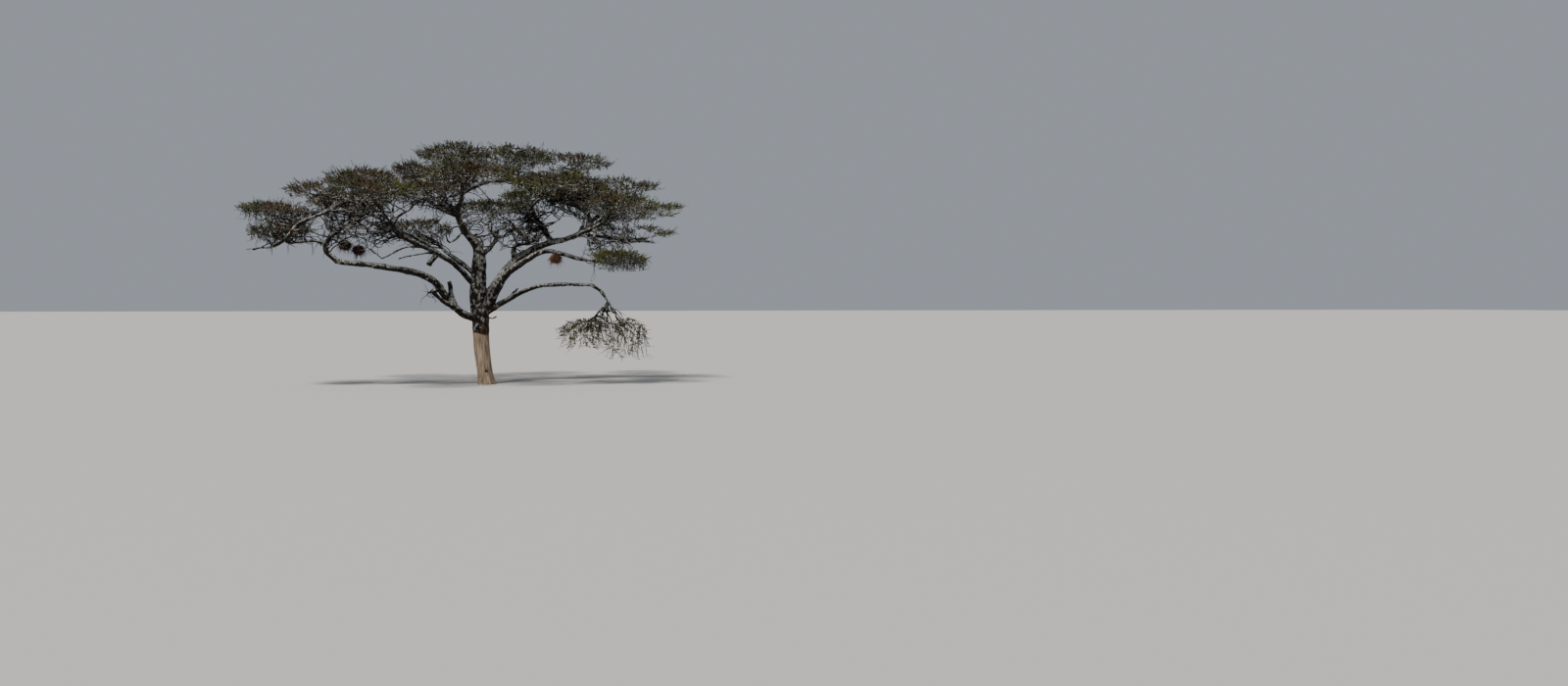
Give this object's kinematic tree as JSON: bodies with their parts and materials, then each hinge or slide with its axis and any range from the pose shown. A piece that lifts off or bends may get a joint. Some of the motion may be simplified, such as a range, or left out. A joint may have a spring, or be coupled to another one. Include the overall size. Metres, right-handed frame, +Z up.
{
  "type": "acacia tree",
  "caption": "Wide flat-topped savanna tree with a leaning trunk, long crooked limbs, layered thorny foliage and a low drooping limb.",
  "frame": {"origin": "middle of the flat cut under the trunk, at ground level", "axes": "+Z up, +X towards the side with the low drooping limb, +Y away from the side the picture shows"},
  "size_m": [13.8839, 9.1329, 7.9172],
  "materials": {
    "bark": "rough blackish bark with pale grey lichen on the upper sides, and smooth grey-tan wood where the lower trunk is rubbed",
    "foliage": "matte dull olive-green leaves with brownish patches on fine grey twigs",
    "dry_grass": "matte brown dry grass"
  },
  "bodies": {
    "root": {"trunk": "bark", "left_arm": "bark", "left_arm_rise": "bark", "broken_limb": "bark", "dead_stub": "bark", "far_left_limb": "bark", "far_left_low_limb": "bark", "outer_left_limb": "bark", "inner_left_limb": "bark", "back_low_left_limb": "bark", "back_middle_limb": "bark", "right_bough": "bark", "right_low_limb": "bark", "low_right_limb": "bark", "low_right_droop": "bark", "hanging_left_limb": "bark", "right_inner_limb": "bark", "top_right_limb": "bark", "top_left_limb": "bark", "top_far_right_limb": "bark", "right_rim_high_limb": "bark", "right_rim_low_limb": "bark", "front_middle_limb": "bark", "front_right_limb": "bark", "front_left_limb": "bark", "front_far_right_limb": "bark", "back_right_limb": "bark", "back_left_limb": "bark", "back_top_limb": "bark", "dead_twig_upper": "bark", "dead_twig_lower": "bark", "dead_spur": "bark", "top_middle": "foliage", "top_right": "foliage", "top_far_right": "foliage", "top_left": "foliage", "middle_left": "foliage", "upper_left": "foliage", "outer_left": "foliage", "inner_left": "foliage", "far_left_high": "foliage", "far_left_low": "foliage", "back_low_left": "foliage", "back_middle": "foliage", "right_inner": "foliage", "right_shoulder": "foliage", "right_rim_high": "foliage", "right_rim_low": "foliage", "right_low": "foliage", "hanging_left": "foliage", "hanging_right": "foliage", "front_middle": "foliage", "front_right": "foliage", "front_left": "foliage", "front_far_right": "foliage", "back_right": "foliage", "back_left": "foliage", "back_top": "foliage", "bare_left": "foliage", "nest": "dry_grass"}
  },
  "joints": []
}
